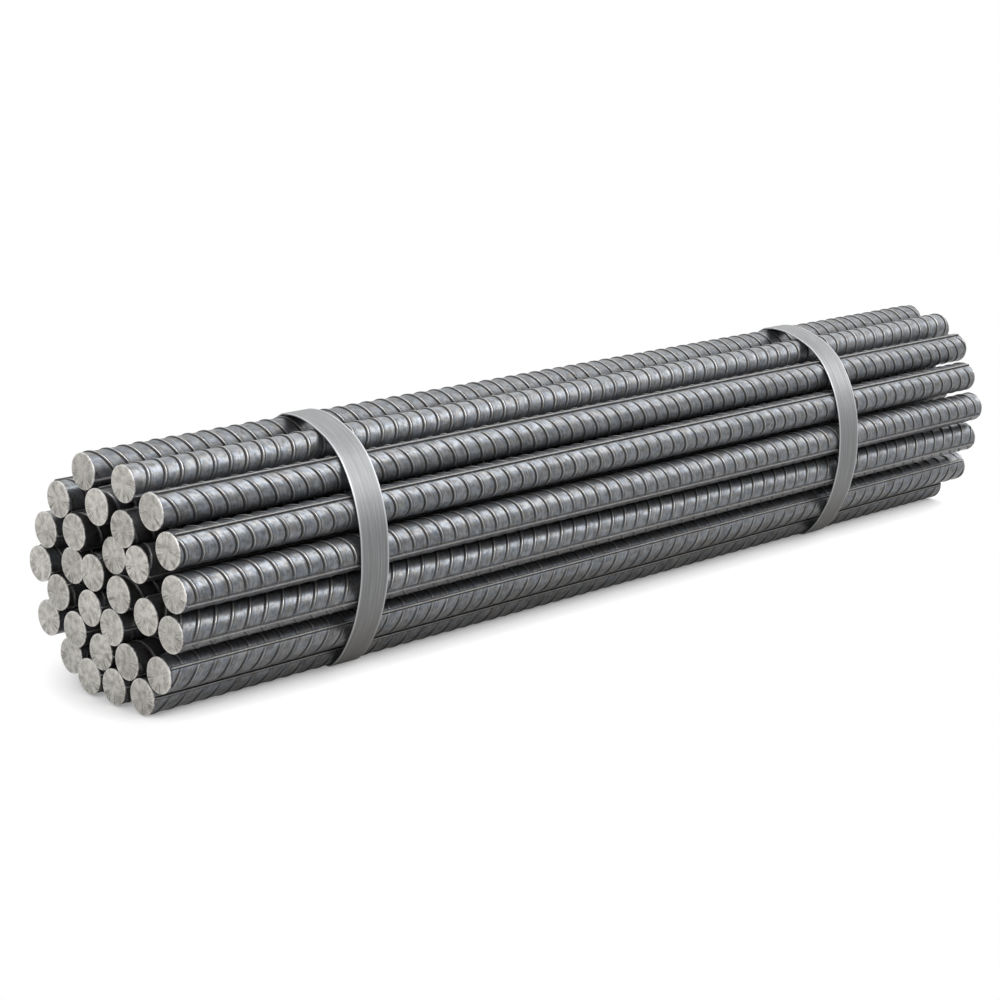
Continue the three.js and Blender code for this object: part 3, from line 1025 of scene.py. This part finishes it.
def matt_white_board(settings):
    """Matt white board: an even pale floor that keeps the soft shade under the bundle and runs out into
    white. Near the bundle's foot metal sees it in a darker colour, a painted shade."""
    material, tree, shader = new_material("matt_white_board")
    place = add_node(tree, "ShaderNodeNewGeometry").outputs["Position"]
    camera = add_node(tree, "ShaderNodeLightPath").outputs["Is Camera Ray"]
    past = []
    for shape, reach in ((FOOT_SHADE_SHAPE, FOOT_SHADE_REACH), (SHADOW_SHAPE, SHADOW_REACH)):
        zone = add_node(tree, "ShaderNodeVectorMath", {"operation": "MULTIPLY", 1: shape}, {0: place})
        away = add_node(tree, "ShaderNodeVectorMath", {"operation": "LENGTH"}, {0: zone}).outputs["Value"]
        past.append(amount(tree, (away, *reach)))
    past_foot_shade, past_ends = past
    # Near the bundle's foot metal sees the darker bounce colour instead of white: painted shade.
    shown = add_node(tree, "ShaderNodeMath", {"operation": "MAXIMUM"}, {0: camera, 1: past_foot_shade})
    white = amount(tree, (seen_directly(tree), 0.0, 1.0), (shown, 0.0, 1.0))
    colour = coat(tree, settings.bounce_and_foot_shade_hex, settings.floor_hex, (white, 0.0, 1.0))
    tree.links.new(colour, shader.inputs["Base Color"])
    shader.inputs["Roughness"].default_value = 1.0
    shader.inputs["Specular IOR Level"].default_value = 0.0
    share = amount(tree, (camera, 0.0, 1.0, *SHADOW_SHARES))
    plain = add_node(tree, "ShaderNodeMath", {"operation": "MAXIMUM"}, {0: share, 1: past_ends})
    plain_white = amount(tree, (plain, 0.0, 1.0), (white, 0.0, 1.0))
    glow = add_node(tree, "ShaderNodeEmission", {"Color": (1, 1, 1, 1), "Strength": 1.0})
    mix = add_node(tree, "ShaderNodeMixShader", links={0: plain_white, 1: shader, 2: glow})
    output = next(node for node in tree.nodes if node.type == "OUTPUT_MATERIAL")
    tree.links.new(mix.outputs[0], output.inputs["Surface"])
    return material


def lay_floor(material):
    """A square floor that reaches far past the object."""
    mesh = bpy.data.meshes.new("floor")
    corners = [(x * FLOOR_HALF, y * FLOOR_HALF, 0) for x, y in ((-1, -1), (1, -1), (1, 1), (-1, 1))]
    mesh.from_pydata(corners, [], [(0, 1, 2, 3)])
    mesh.materials.append(material)
    floor = add_object("floor", mesh)


class REBAR_OT_stage(Operator):
    """Set the floor, light and camera."""

    bl_idname = "rebar.stage"
    bl_label = "Stage"

    def execute(self, context):
        settings = context.scene.rebar_stage
        context.scene.view_settings.view_transform = "Standard"
        white_world(settings.sky)
        lay_floor(matt_white_board(settings))
        sun_lamp("key_lamp", settings.key, settings.key_from, settings.softness)
        sun_lamp("fill_lamp", settings.fill, settings.fill_from, settings.softness, glossy=False)
        sun_lamp("rim_lamp", settings.rim, settings.rim_from, settings.softness)
        data = bpy.data.cameras.new("camera")
        data.lens = settings.lens
        data.sensor_width = SENSOR_WIDTH
        camera = add_object("camera", data)
        bar = FACTS[CAMERA_BAR]
        camera.location = Vector((bar["start"], *bar["axis"])) * MM + Vector(settings.camera)
        camera.rotation_euler = (math.pi / 2 - settings.pitch, 0, settings.azimuth)
        context.scene.camera = camera
        return {"FINISHED"}


# ---------------------------------------------------------------- add-on


class REBAR_PT_bundle(Panel):
    """Buttons and settings of the rebar bundle."""

    bl_idname = "REBAR_PT_bundle"
    bl_label = "Rebar bundle"
    bl_space_type = "VIEW_3D"
    bl_region_type = "UI"
    bl_category = "Rebar"

    def draw(self, context):
        for operator, group in (
            (REBAR_OT_bars, context.scene.rebar_bars),
            (REBAR_OT_straps, context.scene.rebar_straps),
            (REBAR_OT_stage, context.scene.rebar_stage),
        ):
            box = self.layout.box()
            box.operator(operator.bl_idname)
            for name in group.__annotations__:
                box.prop(group, name)


CLASSES = (
    BarSettings,
    StrapSettings,
    StageSettings,
    REBAR_OT_bars,
    REBAR_OT_straps,
    REBAR_OT_stage,
    REBAR_PT_bundle,
)


def register():
    """Registers the add-on."""
    for item in CLASSES:
        bpy.utils.register_class(item)
    bpy.types.Scene.rebar_bars = PointerProperty(type=BarSettings)
    bpy.types.Scene.rebar_straps = PointerProperty(type=StrapSettings)
    bpy.types.Scene.rebar_stage = PointerProperty(type=StageSettings)


def unregister():
    """Takes the add-on out again."""
    del bpy.types.Scene.rebar_bars
    del bpy.types.Scene.rebar_straps
    del bpy.types.Scene.rebar_stage
    for item in reversed(CLASSES):
        bpy.utils.unregister_class(item)


def main():
    """Builds the whole scene."""
    register()
    bpy.ops.rebar.bars()
    bpy.ops.rebar.straps()
    bpy.ops.rebar.stage()


if __name__ == "__main__":
    main()
